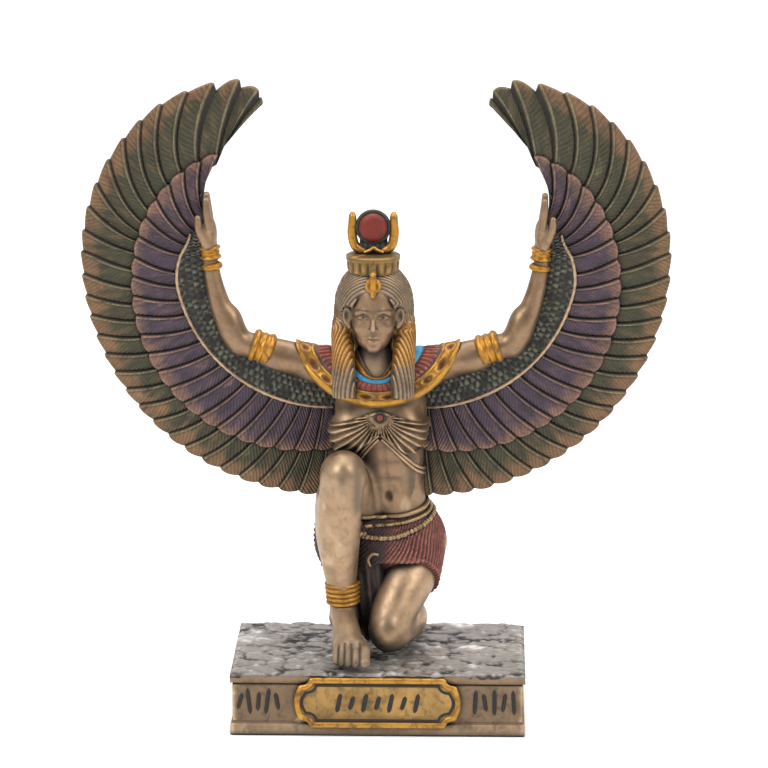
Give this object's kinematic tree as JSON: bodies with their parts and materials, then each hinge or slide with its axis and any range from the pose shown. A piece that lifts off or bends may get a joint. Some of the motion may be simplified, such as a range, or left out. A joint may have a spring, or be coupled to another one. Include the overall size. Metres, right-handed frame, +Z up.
{
  "type": "winged goddess statuette",
  "caption": "Small cast statuette of a kneeling winged goddess with raised arms and open wings, on a low oblong plinth with a blank nameplate.",
  "frame": {"origin": "centre of the plinth's underside", "axes": "+Z up, -Y towards the figure's front and the nameplate, +X to the right of someone who looks at the front"},
  "size_m": [0.0796, 0.0266, 0.0877],
  "materials": {
    "plinth_bronze": "resin with bronze powder, dark wash in the recesses, gold paint on the nameplate",
    "figure_bronze": "resin with bronze powder, painted green, violet, red, blue and gold, dry-brushed"
  },
  "bodies": {
    "root": {"plinth": "plinth_bronze", "winged_figure": "figure_bronze"}
  },
  "joints": []
}
